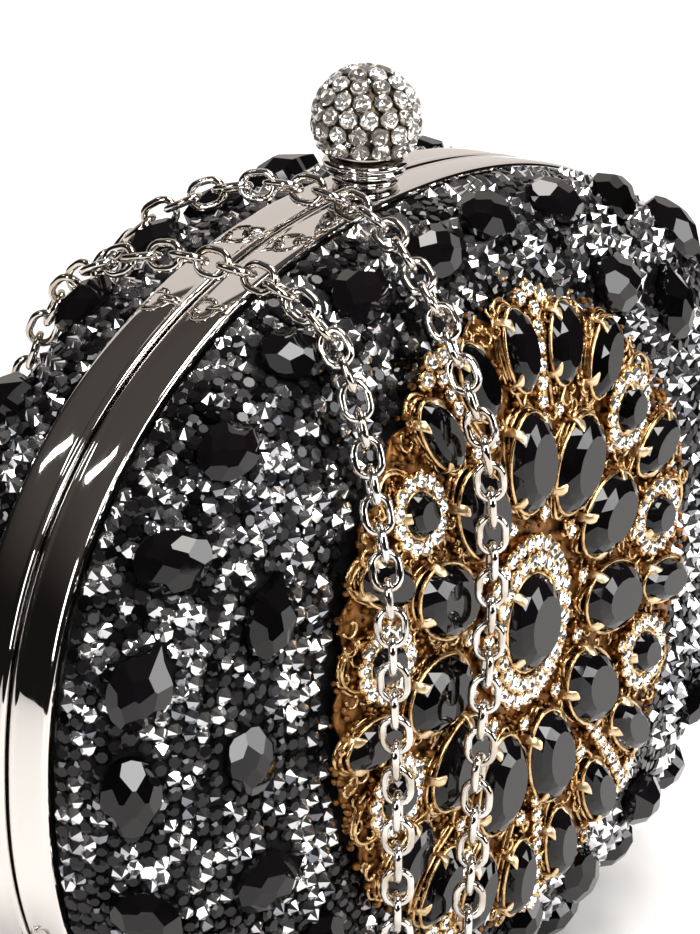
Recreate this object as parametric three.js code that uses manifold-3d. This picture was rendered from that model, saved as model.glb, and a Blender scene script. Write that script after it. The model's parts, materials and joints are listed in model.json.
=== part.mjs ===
// A hard oval evening bag (minaudiere): two crystal-covered domed halves on polished rims, hinged at the
// bottom, closed by a press-down ball clasp, with a jewelled rosette on the front and a link chain strap.
// Units are millimetres. +Z is up, -Y is the front, and +X is to the right when seen from the front.
import * as THREE from 'three';
import { mergeVertices } from 'three/addons/utils/BufferGeometryUtils.js';
import Module from 'manifold-3d';

const wasm = await Module();
wasm.setup();

// Outline of the bag, a superellipse in the XZ plane
const halfWidth = 84;
const halfHeight = 60.5;
const outlinePower = 2.24;
const restFlat = 0.5;
const centreZ = halfHeight - restFlat;
const outlineSegments = 36;

// Domed halves: layers that lie inside one another
const domeDepth = 22;
const crownPower = 2.1;
const edgePower = 4.5;
const domeRings = 5;
const gap = 0.3;
const coverThickness = 2;
const shellThickness = 1.6;
const liningThickness = 0.8;

// Rim bands, one on each half, facing each other at the seam
const rimWidth = 6.6;
const rimThickness = 2.4;
const rimChamfer = 0.5;
const rimSegments = 56;
const rimTop = centreZ + halfHeight;
const rimUnderside = rimTop - rimThickness;

// Hinge along X under the seam
const hingeAxisZ = 1.9;
const barrelRadius = 1.8;
const pinRadius = 0.8;
const hingeHalfLength = 28;
const hingeClearY = 2.4;
const footReach = 6.2;
const footThickness = 1;
const footLevel = hingeAxisZ + 0.9;
const frontFootStep = 0.4;
const outerFootStep = 2.2;
const knuckleEdges = [8, 18, hingeHalfLength];
const webNear = 0.6;
const webFar = 1.6;

// Ball clasp, centred over the seam
const stemRadius = 1.5;
const stemHoleRadius = 2.1;
const ballRadius = 7;
const ballCentre = rimTop + 9.2;
const ballSeat = rimTop + 4.4;
const cupRadius = 5.7;
const cupBoreRadius = 4.9;
const cupBottom = rimTop + 1.7;
const cupCeiling = rimTop + 3.3;
const collarRadius = 4.6;
const collarHeight = 1.2;
const flangeRadius = 3.2;
const flangeTop = rimUnderside - 1.3;
const flangeBottom = rimUnderside - 2.3;

// Latch under the clasp
const pivotY = 4.6;
const pivotZ = rimUnderside - 5.6;
const pivotPinRadius = 0.6;
const pivotBossRadius = 1.8;
const pawlHalfWidth = 5.5;
const pawlBottom = rimUnderside - 6.2;
const pawlTop = rimUnderside - 4.2;
const hookTop = rimUnderside - 3.4;
const hookBackY = -4.8;
const hookFrontY = -6;
const hookSlope = 0.6;
const padNearY = -2;
const padFarY = -2.9;
const bracketHalfWidth = 7;
const bracketFloor = rimUnderside - 14;
const bracketBackY = 6.4;
const earFrontY = 2.8;
const bracketTopFrontY = 3.5;
const bracketFloorFrontY = -3.6;
const sheetThickness = 1;
const springRadius = 2.6;
const springWire = 0.35;
const springTurns = 5;
const strikeNearY = 3.4;
const strikeLegY = 4.4;
const strikeFarY = 6.2;
const strikeFootBottom = rimUnderside - 1.2;
const strikeLegBottom = rimUnderside - 3.1;
const strikeHalfWidth = 5;

// Rosette on the front dome
const rosetteX = -6;
const rosetteZ = centreZ + 4.5;
const rosetteRadius = 47;
const lobeCount = 11;
const lobeDepth = 0.05;
const plateLift = 0.5;
const plateThickness = 1;
const stoneLift = 1.8;
const petalRing = 23;
const outerRing = 38.5;
const centreStone = { length: 14, width: 12, height: 4 };
const petalStone = { length: 13.5, width: 10, height: 3.2 };
const spearStone = { length: 11, width: 5.5, height: 2.6 };
const spearPoint = 1.4;
const haloGap = 0.5;
const haloWidth = [4.6, 4];
const haloOuterHeight = 1.6;
const haloInnerHeight = 2.2;

// Chain strap and its fittings
const chainRadius = 2.4;
const chainSteps = 96;
const lugAngle = THREE.MathUtils.degToRad(25);
const lugWire = 0.7;
const lugBend = 2;
const lugLeg = 1;
const ringRadius = 3.4;
const ringWire = 0.5;
const ringPlay = 0.1;

// The seam is set back so that the bag, rosette included, stands centred on its origin
const seamY = (stoneLift + centreStone.height) / 2;

// Strap route with the seam at Y = 0: left fitting, up the back, over the rim, down the front,
// round its lowest bend, up and over again, down the back, and along the floor to the right fitting
const strapRoute = [
  [-79.7, 3.4, 23.9], [-79.8, 3.8, 18], [-79.8, 5.4, 11.5], [-79.2, 9.5, 6], [-77.4, 16, 3.2],
  [-74, 22.5, 2.6], [-68.5, 28, 2.6], [-61, 32, 2.6], [-53.5, 33.8, 4.4], [-48.6, 33.6, 9.4],
  [-45.6, 32.8, 17], [-44.4, 32.2, 27], [-43.4, 31.8, 40], [-42.6, 31.6, 52], [-41.8, 31.6, 66],
  [-41, 31.2, 79], [-40.2, 30.2, 90], [-39.6, 27.9, 100.8], [-39.5, 24.9, 107.4], [-40, 20.8, 112.5],
  [-40.6, 14, 116.8], [-40.2, 4, 119.4], [-39.8, -3, 119.3], [-39.8, -9.5, 118.6], [-40.2, -15.6, 116.6],
  [-40.9, -20.9, 113.2], [-41.8, -25, 108], [-43.2, -28.2, 101], [-44.6, -31, 93], [-45.9, -33.4, 86],
  [-46.8, -35.2, 77], [-47, -35.9, 67], [-46.2, -36, 58], [-45.6, -35.9, 48], [-45, -35.6, 38],
  [-44.4, -35.3, 28], [-43.8, -35.2, 20], [-41.2, -35.2, 13.2], [-35.4, -35.2, 10], [-29.6, -35.2, 13.2],
  [-27.4, -35.3, 20], [-27.2, -35.8, 30], [-27.1, -36.3, 40], [-26.6, -36.6, 50], [-25.7, -36.8, 62],
  [-24.7, -36.8, 74], [-24.5, -36.6, 85], [-24.9, -36, 94], [-25.2, -34.2, 100.8], [-24.4, -31, 106.6],
  [-23, -27, 112], [-21.2, -22, 116.6], [-19, -16.2, 120.8], [-17.8, -10, 123], [-17.6, -3.4, 124.1],
  [-18.2, 3.2, 124], [-20, 9.8, 122.8], [-22, 15.3, 120.4], [-23.8, 20.6, 116.8], [-25.1, 25, 111.4],
  [-26, 28.5, 103.6], [-27.2, 30.8, 92.6], [-28.8, 32, 79], [-29, 32.2, 64], [-29.2, 32.4, 50],
  [-29.2, 33, 36], [-28.8, 34.2, 24], [-27.4, 36.2, 14], [-24, 39, 6.8], [-18, 41.8, 3.2],
  [-9, 43.8, 2.6], [5, 44, 2.6], [20, 42, 2.6], [36, 38.4, 2.6], [51, 32.6, 2.6],
  [64, 25, 2.6], [73, 17, 2.9], [78, 10.5, 5.2], [79.6, 6.2, 10.5], [79.9, 4, 17],
  [79.7, 3.4, 23.9],
];

function finish(color, roughness, metalness) {
  return new THREE.MeshStandardMaterial({ color, roughness, metalness });
}

const nickel = finish(0xc9c5bf, 0.08, 1);
const crystal = finish(0x5d5d63, 0.25, 0.5);
const blackStone = finish(0x0a0a0c, 0.08, 0.1);
const gold = finish(0xb98a3e, 0.3, 1);
const clearStone = finish(0xe9e6df, 0.1, 0.3);
const shellBoard = finish(0x17171a, 0.5, 0.2);
const liningCloth = finish(0x1b1a1d, 0.9, 0);
const steel = finish(0x9a9a98, 0.35, 1);

const body = new THREE.Group();
const bag = new THREE.Group();
bag.position.y = seamY;
body.add(bag);

function add(name, geometry, material) {
  const mesh = new THREE.Mesh(geometry, material);
  mesh.name = name;
  bag.add(mesh);
  return mesh;
}

// Turns the triangles over when they face inwards, as after a mirror
function faceOut(geometry) {
  const points = geometry.attributes.position;
  const order = geometry.index.array;
  const corners = [new THREE.Vector3(), new THREE.Vector3(), new THREE.Vector3()];
  let volume = 0;
  for (let i = 0; i < order.length; i += 3) {
    corners.forEach((corner, j) => corner.fromBufferAttribute(points, order[i + j]));
    volume += corners[0].dot(corners[1].clone().cross(corners[2]));
  }
  if (volume < 0) {
    order.reverse();
  }
  return geometry;
}

function weld(geometry) {
  const bare = geometry.clone();
  bare.deleteAttribute('normal');
  bare.deleteAttribute('uv');
  return faceOut(mergeVertices(bare, 1e-4));
}

// Skin over a row of rings with equal point counts; the ends are closed by fans, or joined in a loop
function loft(rings, loop = false) {
  const count = rings[0].length;
  const points = rings.flat();
  const order = [];
  const pairs = loop ? rings.length : rings.length - 1;
  for (let i = 0; i < pairs; i += 1) {
    const here = i * count;
    const next = ((i + 1) % rings.length) * count;
    for (let j = 0; j < count; j += 1) {
      const k = (j + 1) % count;
      order.push(here + j, next + j, next + k, here + j, next + k, here + k);
    }
  }
  if (!loop) {
    [0, rings.length - 1].forEach((i) => {
      const middle = new THREE.Vector3();
      rings[i].forEach((point) => middle.addScaledVector(point, 1 / count));
      const hub = points.push(middle) - 1;
      for (let j = 0; j < count; j += 1) {
        const k = (j + 1) % count;
        const fan = [hub, i * count + j, i * count + k];
        order.push(...(i === 0 ? fan : fan.reverse()));
      }
    });
  }
  const geometry = new THREE.BufferGeometry().setFromPoints(points);
  geometry.setIndex(order);
  return weld(geometry);
}

function toSolid(geometry) {
  const merged = weld(geometry);
  return new wasm.Manifold(new wasm.Mesh({
    numProp: 3,
    vertProperties: new Float32Array(merged.attributes.position.array),
    triVerts: new Uint32Array(merged.index.array),
  }));
}

function fromSolid(solid) {
  const mesh = solid.getMesh();
  const geometry = new THREE.BufferGeometry();
  geometry.setAttribute('position', new THREE.BufferAttribute(mesh.vertProperties, 3));
  geometry.setIndex(new THREE.BufferAttribute(mesh.triVerts, 1));
  return geometry;
}

function cut(geometry, cutters) {
  return fromSolid(cutters.reduce((solid, cutter) => solid.subtract(toSolid(cutter)), toSolid(geometry)));
}

function block(x, y, z) {
  const geometry = new THREE.BoxGeometry(x[1] - x[0], y[1] - y[0], z[1] - z[0]);
  return geometry.translate((x[0] + x[1]) / 2, (y[0] + y[1]) / 2, (z[0] + z[1]) / 2);
}

function post(radius, low, high) {
  const geometry = new THREE.CylinderGeometry(radius, radius, high - low, 20);
  return geometry.rotateX(Math.PI / 2).translate(0, 0, (low + high) / 2);
}

// Turned piece on the clasp's axis, from a profile of [radius, height] points
function turned(profile, segments = 24) {
  const points = profile.map(([radius, height]) => new THREE.Vector2(radius, height));
  return weld(new THREE.LatheGeometry(points, segments).rotateX(Math.PI / 2));
}

// Flat shape drawn in the YZ plane and drawn out along X from low to high
function plateAlongX(shape, low, high) {
  const geometry = new THREE.ExtrudeGeometry(shape, { depth: high - low, bevelEnabled: false, curveSegments: 8 });
  const turn = new THREE.Matrix4().makeBasis(
    new THREE.Vector3(0, 1, 0), new THREE.Vector3(0, 0, 1), new THREE.Vector3(1, 0, 0),
  );
  return weld(geometry.applyMatrix4(turn).translate(low, 0, 0));
}

function roundHole(y, z, radius) {
  return new THREE.Path().absarc(y, z, radius, 0, Math.PI * 2, true);
}

// Round wire along a curve
function wire(curve, radius, steps, sides) {
  const section = new THREE.Shape();
  for (let i = 0; i < sides; i += 1) {
    const angle = (i / sides) * Math.PI * 2;
    section[i === 0 ? 'moveTo' : 'lineTo'](radius * Math.cos(angle), radius * Math.sin(angle));
  }
  section.closePath();
  return weld(new THREE.ExtrudeGeometry(section, { steps, extrudePath: curve, bevelEnabled: false }));
}

function mirrorToFront(geometry) {
  return weld(geometry.clone().scale(1, -1, 1));
}

function signedPower(value, power) {
  return Math.sign(value) * Math.abs(value) ** power;
}

function outlinePoint(angle, inset = 0) {
  const x = (halfWidth - inset) * signedPower(Math.cos(angle), 2 / outlinePower);
  const z = (halfHeight - inset) * signedPower(Math.sin(angle), 2 / outlinePower);
  return new THREE.Vector2(x, z);
}

// One ring of a dome layer of the rear half, at a rise from 0 at the rim to 1 at the crown
function domeRing(rise, inset) {
  const latitude = rise * Math.PI / 2;
  const scale = Math.cos(latitude) ** (2 / edgePower);
  const y = rimWidth + gap + (domeDepth - inset) * Math.sin(latitude) ** (2 / crownPower);
  const ring = [];
  for (let i = 0; i < outlineSegments; i += 1) {
    const point = outlinePoint((i / outlineSegments) * Math.PI * 2, inset).multiplyScalar(scale);
    ring.push(new THREE.Vector3(point.x, y, Math.max(0, centreZ + point.y)));
  }
  return ring;
}

function domeLayer(inset, thickness) {
  const outside = [];
  const inside = [];
  for (let i = 0; i < domeRings; i += 1) {
    outside.unshift(domeRing(i / domeRings, inset));
    inside.push(domeRing(i / domeRings, inset + thickness));
  }
  return loft([...outside, ...inside]);
}

function rimRing(y, inset, lowest = 0) {
  const ring = [];
  for (let i = 0; i < rimSegments; i += 1) {
    const point = outlinePoint((i / rimSegments) * Math.PI * 2, inset);
    ring.push(new THREE.Vector3(point.x, y, Math.max(lowest, centreZ + point.y)));
  }
  return ring;
}

// Rim band of the rear half, relieved for the hinge below and for the clasp's stem above
function rimBand() {
  const band = loft([
    rimRing(gap, rimChamfer, rimChamfer),
    rimRing(gap + rimChamfer, 0),
    rimRing(rimWidth, 0),
    rimRing(rimWidth, rimThickness),
    rimRing(gap, rimThickness),
  ], true);
  const reach = hingeHalfLength + gap;
  const hingeChannel = block([-reach, reach], [-hingeClearY, hingeClearY], [-1, 6]);
  return cut(band, [hingeChannel, post(stemHoleRadius, rimUnderside - 1, rimTop + 1)]);
}

// Hinge knuckle of the rear half: a barrel round the pin, a web and a foot that lies inside the rim
function hingeKnuckle(low, high, footBottom) {
  const webAngle = (y) => Math.acos(y / barrelRadius);
  const footTop = footBottom + footThickness;
  const shape = new THREE.Shape();
  shape.moveTo(footReach, footBottom);
  shape.lineTo(footReach, footTop);
  shape.lineTo(webNear, footTop);
  shape.absarc(0, hingeAxisZ, barrelRadius, webAngle(webNear), webAngle(webFar) + Math.PI * 2, false);
  shape.lineTo(webFar, footBottom);
  shape.closePath();
  shape.holes.push(roundHole(0, hingeAxisZ, pinRadius + gap));
  return plateAlongX(shape, low, high);
}

function hingePin() {
  const geometry = new THREE.CylinderGeometry(pinRadius, pinRadius, 2 * hingeHalfLength, 16);
  return weld(geometry.rotateZ(Math.PI / 2).translate(0, 0, hingeAxisZ));
}

function claspCollar() {
  const low = rimTop + gap;
  const high = low + collarHeight;
  return turned([
    [stemHoleRadius, low], [collarRadius, low], [collarRadius, high - gap], [collarRadius - gap, high],
    [stemHoleRadius, high], [stemHoleRadius, low],
  ]);
}

function claspCup() {
  const hole = stemRadius + gap;
  const top = ballSeat - gap;
  return turned([
    [hole, cupCeiling], [cupBoreRadius, cupCeiling], [cupBoreRadius, cupBottom], [cupRadius, cupBottom],
    [cupRadius, top - gap], [cupRadius - gap, top], [hole, top], [hole, cupCeiling],
  ]);
}

function claspStem() {
  const top = ballSeat - gap;
  const bottom = bracketFloor - sheetThickness / 2;
  return turned([
    [0, bottom], [stemRadius, bottom], [stemRadius, flangeBottom], [flangeRadius, flangeBottom],
    [flangeRadius, flangeTop], [stemRadius, flangeTop], [stemRadius, top], [0, top],
  ], 16);
}

// The ball is cut flat where it sits on the cup
function claspBall() {
  const seatAngle = Math.asin((ballSeat - ballCentre) / ballRadius);
  const steps = 12;
  const profile = [[0, ballSeat]];
  for (let i = 0; i < steps; i += 1) {
    const angle = seatAngle + (i / steps) * (Math.PI / 2 - seatAngle);
    profile.push([ballRadius * Math.cos(angle), ballCentre + ballRadius * Math.sin(angle)]);
  }
  profile.push([0, ballCentre + ballRadius]);
  return turned(profile);
}

// Rocking pawl: a boss on the pivot pin, a plate round the stem, a raised pad and a hook at the front
function latchPawl() {
  const padTop = flangeBottom - gap;
  const shape = new THREE.Shape();
  shape.moveTo(pivotY, pivotZ - pivotBossRadius);
  shape.absarc(pivotY, pivotZ, pivotBossRadius, -Math.PI / 2, Math.PI / 2, false);
  shape.lineTo(pivotY, pawlTop);
  shape.lineTo(padNearY, pawlTop);
  shape.lineTo(padNearY, padTop);
  shape.lineTo(padFarY, padTop);
  shape.lineTo(padFarY, pawlTop);
  shape.lineTo(hookBackY, pawlTop);
  shape.lineTo(hookBackY, hookTop - hookSlope);
  shape.lineTo(hookBackY - hookSlope, hookTop);
  shape.lineTo(hookFrontY, hookTop);
  shape.lineTo(hookFrontY, pawlBottom);
  shape.lineTo(pivotY - pivotBossRadius, pawlBottom);
  shape.closePath();
  shape.holes.push(roundHole(pivotY, pivotZ, pivotPinRadius + gap));
  const plate = plateAlongX(shape, -pawlHalfWidth, pawlHalfWidth);
  return cut(plate, [post(stemHoleRadius, pawlBottom - 1, padTop + 1)]);
}

// Sheet bracket under the rear rim: a top plate, two ears for the pivot pin, and a floor for the spring
function latchBracket() {
  const topLow = rimUnderside - 1;
  const topHigh = rimUnderside - gap;
  const width = [-bracketHalfWidth, bracketHalfWidth];
  const floorDepth = [bracketFloorFrontY, bracketBackY];
  const floor = toSolid(block(width, floorDepth, [bracketFloor - sheetThickness, bracketFloor]));
  let solid = toSolid(block(width, [bracketTopFrontY, bracketBackY], [topLow, topHigh])).add(floor);
  [-1, 1].forEach((side) => {
    const near = side * (bracketHalfWidth - sheetThickness);
    const far = side * bracketHalfWidth;
    const ear = block([Math.min(near, far), Math.max(near, far)], [earFrontY, bracketBackY],
      [bracketFloor - sheetThickness, topHigh]);
    solid = solid.add(toSolid(ear));
  });
  const pinHole = new THREE.CylinderGeometry(pivotPinRadius + gap, pivotPinRadius + gap, 4 * bracketHalfWidth, 16);
  pinHole.rotateZ(Math.PI / 2).translate(0, pivotY, pivotZ);
  const stemHole = post(stemHoleRadius, bracketFloor - 2 * sheetThickness, bracketFloor + 1);
  return fromSolid(solid.subtract(toSolid(pinHole)).subtract(toSolid(stemHole)));
}

function pivotPin() {
  const geometry = new THREE.CylinderGeometry(pivotPinRadius, pivotPinRadius, 2 * bracketHalfWidth + 1, 12);
  return weld(geometry.rotateZ(Math.PI / 2).translate(0, pivotY, pivotZ));
}

class Helix extends THREE.Curve {
  getPoint(t, target = new THREE.Vector3()) {
    const angle = t * springTurns * Math.PI * 2;
    const low = bracketFloor + gap + springWire;
    const high = pawlBottom - gap - springWire;
    return target.set(springRadius * Math.cos(angle), springRadius * Math.sin(angle), low + t * (high - low));
  }
}

// Catch on the front rim, drawn for the rear half and mirrored: a foot and a leg behind the pawl's hook
function strikePlate() {
  const shape = new THREE.Shape();
  shape.moveTo(strikeNearY, strikeLegBottom);
  shape.lineTo(strikeLegY, strikeLegBottom);
  shape.lineTo(strikeLegY, strikeFootBottom);
  shape.lineTo(strikeFarY, strikeFootBottom);
  shape.lineTo(strikeFarY, rimUnderside - gap);
  shape.lineTo(strikeNearY, rimUnderside - gap);
  shape.closePath();
  return plateAlongX(shape, -strikeHalfWidth, strikeHalfWidth);
}

// Height of the front crystal surface in front of the seam, lifted outwards
function frontDepth(x, z, lift) {
  const across = Math.abs(x / halfWidth) ** outlinePower + Math.abs((z - centreZ) / halfHeight) ** outlinePower;
  const rise = Math.max(0, 1 - across ** (edgePower / outlinePower));
  return rimWidth + gap + lift + domeDepth * rise ** (1 / crownPower);
}

function onFront(x, z, lift) {
  return new THREE.Vector3(x, -frontDepth(x, z, lift), z);
}

// Frame on the front surface: its third axis points outwards and its first along the ray from the rosette
function frontFrame(radius, angle) {
  const x = rosetteX + radius * Math.cos(angle);
  const z = rosetteZ + radius * Math.sin(angle);
  const step = 0.5;
  const across = onFront(x + step, z, 0).sub(onFront(x - step, z, 0));
  const up = onFront(x, z + step, 0).sub(onFront(x, z - step, 0));
  const outward = across.clone().cross(up).normalize();
  const along = across.multiplyScalar(Math.cos(angle)).addScaledVector(up, Math.sin(angle));
  along.addScaledVector(outward, -along.dot(outward)).normalize();
  const side = outward.clone().cross(along);
  return new THREE.Matrix4().makeBasis(along, side, outward).setPosition(onFront(x, z, 0));
}

// Scalloped filigree plate that follows the front dome
function rosettePlate() {
  const rings = [];
  const plateRing = (share, lift) => {
    const ring = [];
    const count = lobeCount * 4;
    for (let i = 0; i < count; i += 1) {
      const angle = (i / count) * Math.PI * 2;
      const lobe = 1 - lobeDepth * (1 - Math.cos(lobeCount * angle)) / 2;
      const radius = rosetteRadius * share * lobe;
      ring.push(onFront(rosetteX + radius * Math.cos(angle), rosetteZ + radius * Math.sin(angle), lift));
    }
    return ring;
  };
  const shares = [0.25, 0.5, 0.7, 0.86, 1];
  shares.forEach((share) => rings.push(plateRing(share, plateLift + plateThickness)));
  shares.reverse().forEach((share) => rings.push(plateRing(share, plateLift)));
  return loft(rings);
}

// Faceted oval stone in a frame on the front surface, sharpened at its ends by the point value
function ovalStone({ length, width, height }, frame, point = 1, sides = 10) {
  const level = (scale, lift) => {
    const ring = [];
    for (let i = 0; i < sides; i += 1) {
      const angle = (i / sides) * Math.PI * 2;
      const x = scale * length / 2 * Math.cos(angle);
      const y = scale * width / 2 * signedPower(Math.sin(angle), point);
      ring.push(new THREE.Vector3(x, y, lift).applyMatrix4(frame));
    }
    return ring;
  };
  return loft([
    level(0.8, stoneLift),
    level(1, stoneLift + height * 0.3),
    level(0.82, stoneLift + height * 0.75),
    level(0.45, stoneLift + height),
  ]);
}

// Oval band round the centre stone
function stoneHalo(frame) {
  const inner = [centreStone.length / 2 + haloGap, centreStone.width / 2 + haloGap];
  const outer = [inner[0] + haloWidth[0], inner[1] + haloWidth[1]];
  const level = ([x, y], lift) => {
    const ring = [];
    for (let i = 0; i < 24; i += 1) {
      const angle = (i / 24) * Math.PI * 2;
      ring.push(new THREE.Vector3(x * Math.cos(angle), y * Math.sin(angle), lift).applyMatrix4(frame));
    }
    return ring;
  };
  return loft([
    level(inner, stoneLift),
    level(outer, stoneLift),
    level(outer, stoneLift + haloOuterHeight),
    level(inner, stoneLift + haloInnerHeight),
  ], true);
}

// Chain lug: a wire staple that stands on the rear rim, its legs set apart along Y
function lugFrame(side) {
  const angle = Math.PI + lugAngle;
  const point = outlinePoint(angle);
  const step = 0.01;
  const run = outlinePoint(angle + step).sub(outlinePoint(angle - step)).normalize();
  const normal = new THREE.Vector3(-run.y, 0, run.x).multiplyScalar(-1);
  const origin = new THREE.Vector3(point.x, (gap + rimWidth) / 2, centreZ + point.y);
  normal.x *= -side;
  origin.x *= -side;
  return { origin, normal };
}

function chainLug(side) {
  const { origin, normal } = lugFrame(side);
  const at = (y, rise) => origin.clone().addScaledVector(normal, rise).add(new THREE.Vector3(0, y, 0));
  const points = [at(-lugBend, gap)];
  for (let i = 0; i <= 8; i += 1) {
    const angle = Math.PI - (i / 8) * Math.PI;
    points.push(at(lugBend * Math.cos(angle), gap + lugLeg + lugBend * Math.sin(angle)));
  }
  points.push(at(lugBend, gap));
  return wire(new THREE.CatmullRomCurve3(points), lugWire, 14, 8);
}

// Jump ring that hangs from a lug
function jumpRing(side) {
  const { origin, normal } = lugFrame(side);
  const profile = [];
  for (let i = 0; i <= 8; i += 1) {
    const angle = (i / 8) * Math.PI * 2;
    profile.push(new THREE.Vector2(ringRadius + ringWire * Math.cos(angle), ringWire * Math.sin(angle)));
  }
  const top = origin.addScaledVector(normal, gap + lugLeg + lugBend);
  const drop = ringRadius - lugWire - ringWire - ringPlay;
  return weld(new THREE.LatheGeometry(profile, 20).translate(top.x, top.y, top.z - drop));
}

function chainStrap() {
  const points = strapRoute.map(([x, y, z]) => new THREE.Vector3(x, y, z));
  return wire(new THREE.CatmullRomCurve3(points, false, 'centripetal'), chainRadius, chainSteps, 8);
}

function buildHalf(prefix, place) {
  add(`${prefix}_rim`, place(rimBand()), nickel);
  add(`${prefix}_crystal_cover`, place(domeLayer(0, coverThickness)), crystal);
  const shellInset = coverThickness + gap;
  add(`${prefix}_shell`, place(domeLayer(shellInset, shellThickness)), shellBoard);
  const liningInset = shellInset + shellThickness + gap;
  add(`${prefix}_lining`, place(domeLayer(liningInset, liningThickness)), liningCloth);
}

function buildHinge() {
  const [inner, middle, outer] = knuckleEdges;
  const frontFoot = footLevel + frontFootStep;
  const outerFoot = footLevel + outerFootStep;
  add('rear_knuckle_centre', hingeKnuckle(-inner, inner, footLevel), nickel);
  add('front_knuckle_right', mirrorToFront(hingeKnuckle(inner + gap, middle, frontFoot)), nickel);
  add('front_knuckle_left', mirrorToFront(hingeKnuckle(-middle, -inner - gap, frontFoot)), nickel);
  add('rear_knuckle_right', hingeKnuckle(middle + gap, outer, outerFoot), nickel);
  add('rear_knuckle_left', hingeKnuckle(-outer, -middle - gap, outerFoot), nickel);
  add('hinge_pin', hingePin(), steel);
}

function buildClasp() {
  add('clasp_collar', claspCollar(), nickel);
  add('clasp_cup', claspCup(), nickel);
  add('clasp_stem', claspStem(), steel);
  add('clasp_ball', claspBall(), clearStone);
  add('latch_pawl', latchPawl(), steel);
  add('latch_bracket', latchBracket(), steel);
  add('latch_pivot_pin', pivotPin(), steel);
  add('clasp_spring', wire(new Helix(), springWire, springTurns * 10, 6), steel);
  add('strike_plate', mirrorToFront(strikePlate()), steel);
}

function buildRosette() {
  const centreFrame = frontFrame(0, Math.PI / 2);
  add('rosette_plate', rosettePlate(), gold);
  add('centre_stone', ovalStone(centreStone, centreFrame), blackStone);
  add('centre_halo', stoneHalo(centreFrame), clearStone);
  for (let i = 0; i < lobeCount; i += 1) {
    const angle = Math.PI / 2 - (i / lobeCount) * Math.PI * 2;
    const number = String(i + 1).padStart(2, '0');
    add(`petal_stone_${number}`, ovalStone(petalStone, frontFrame(petalRing, angle)), blackStone);
    const spearFrame = frontFrame(outerRing, angle);
    add(`spear_stone_${number}`, ovalStone(spearStone, spearFrame, spearPoint, 8), blackStone);
  }
}

function buildStrap() {
  add('left_chain_lug', chainLug(-1), nickel);
  add('right_chain_lug', chainLug(1), nickel);
  add('left_jump_ring', jumpRing(-1), nickel);
  add('right_jump_ring', jumpRing(1), nickel);
  add('chain_strap', chainStrap(), nickel);
}

buildHalf('rear', (geometry) => geometry);
buildHalf('front', mirrorToFront);
buildHinge();
buildClasp();
buildRosette();
buildStrap();

export default body;
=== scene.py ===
# Evening bag: crystal pave over two domed halves, polished rims, ball clasp, jewelled rosette, link chain.
# Metres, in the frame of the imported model: +Z up, -Y the front, +X to the right from the front.
import json
from math import atan2, cos, hypot, pi, radians, sin, sqrt

import bmesh
import bpy
import numpy as np
from mathutils import Matrix, Vector
from mathutils.kdtree import KDTree


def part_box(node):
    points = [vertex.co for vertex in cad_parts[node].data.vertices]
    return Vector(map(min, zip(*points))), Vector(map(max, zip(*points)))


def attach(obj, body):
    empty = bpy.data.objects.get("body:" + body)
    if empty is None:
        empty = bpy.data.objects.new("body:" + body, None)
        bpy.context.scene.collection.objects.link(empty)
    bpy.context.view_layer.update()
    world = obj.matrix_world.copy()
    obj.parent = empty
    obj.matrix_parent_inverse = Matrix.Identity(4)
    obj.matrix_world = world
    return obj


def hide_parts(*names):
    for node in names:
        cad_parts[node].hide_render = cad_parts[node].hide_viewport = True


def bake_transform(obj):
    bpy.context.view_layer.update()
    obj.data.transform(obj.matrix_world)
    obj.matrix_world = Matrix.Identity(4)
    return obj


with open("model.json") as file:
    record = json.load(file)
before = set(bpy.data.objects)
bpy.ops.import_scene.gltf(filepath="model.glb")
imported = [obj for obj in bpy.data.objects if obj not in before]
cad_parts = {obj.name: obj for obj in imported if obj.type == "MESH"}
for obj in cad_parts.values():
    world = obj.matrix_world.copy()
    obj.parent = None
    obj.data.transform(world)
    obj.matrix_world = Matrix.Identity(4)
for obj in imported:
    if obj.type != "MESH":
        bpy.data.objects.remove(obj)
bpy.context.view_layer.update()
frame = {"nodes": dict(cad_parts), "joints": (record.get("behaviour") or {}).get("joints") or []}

MM = 0.001
draws = np.random.default_rng(7)

# Shape of the bag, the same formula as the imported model's
rim_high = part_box("rear_rim")[1]
opening = next(joint for joint in frame["joints"] if joint["name"] == "front_opening")
seam_y = opening["pos_m"][1]
rest_flat = 0.5 * MM
half_width = rim_high[0]
half_height = (rim_high[2] + rest_flat) / 2
centre_z = half_height - rest_flat
rim_top = rim_high[2]
outline_power = 2.24
crown_power = 2.1
edge_power = 4.5
gap = 0.3 * MM
rim_width = 6.6 * MM
rim_thickness = 2.4 * MM
dome_depth = 22 * MM
dome_start = rim_width + gap

# Stones of the pave
stone_pitch = 2.24 * MM
stone_radius = 1.24 * MM
cloth_inset = 1.5 * MM
FRONT, REAR = -1, 1
halves = (("rear", REAR), ("front", FRONT))

# Rosette
rosette_x = -6 * MM
rosette_z = centre_z + 4.5 * MM
rosette_radius = 47 * MM
lobe_count = 11
stone_lift = 1.8 * MM
petal_radius, halo_radius, spear_radius = 23 * MM, 35.5 * MM, 38.2 * MM
# Length, width and height of the stones
centre_stone = (14 * MM, 12 * MM, 4 * MM)
petal_stone = (14.2 * MM, 10.2 * MM, 3.4 * MM)
spear_stone = (11.6 * MM, 6.2 * MM, 2.9 * MM)
halo_stone = (7 * MM, 6 * MM, 2.8 * MM)
# Inner and outer radius, half width and lift of the wire loops, in millimetres
ray_wires = [(15, 31.4, 5.9, 1.3), (15, 30.8, 5.4, 1.9), (31, 45.2, 4, 1.3), (31, 44.6, 3.6, 1.8)]
gap_wires = [(29, 44.4, 5.2, 1.3), (29, 44.4, 4.4, 1.8)]
# The grains take the very dark gold: painted shade down among the filigree wires and stones.
rosette_golds = {"settings": "gold", "prongs": "prong_gold", "filigree": "gold", "grains": "deep_gold"}

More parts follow.
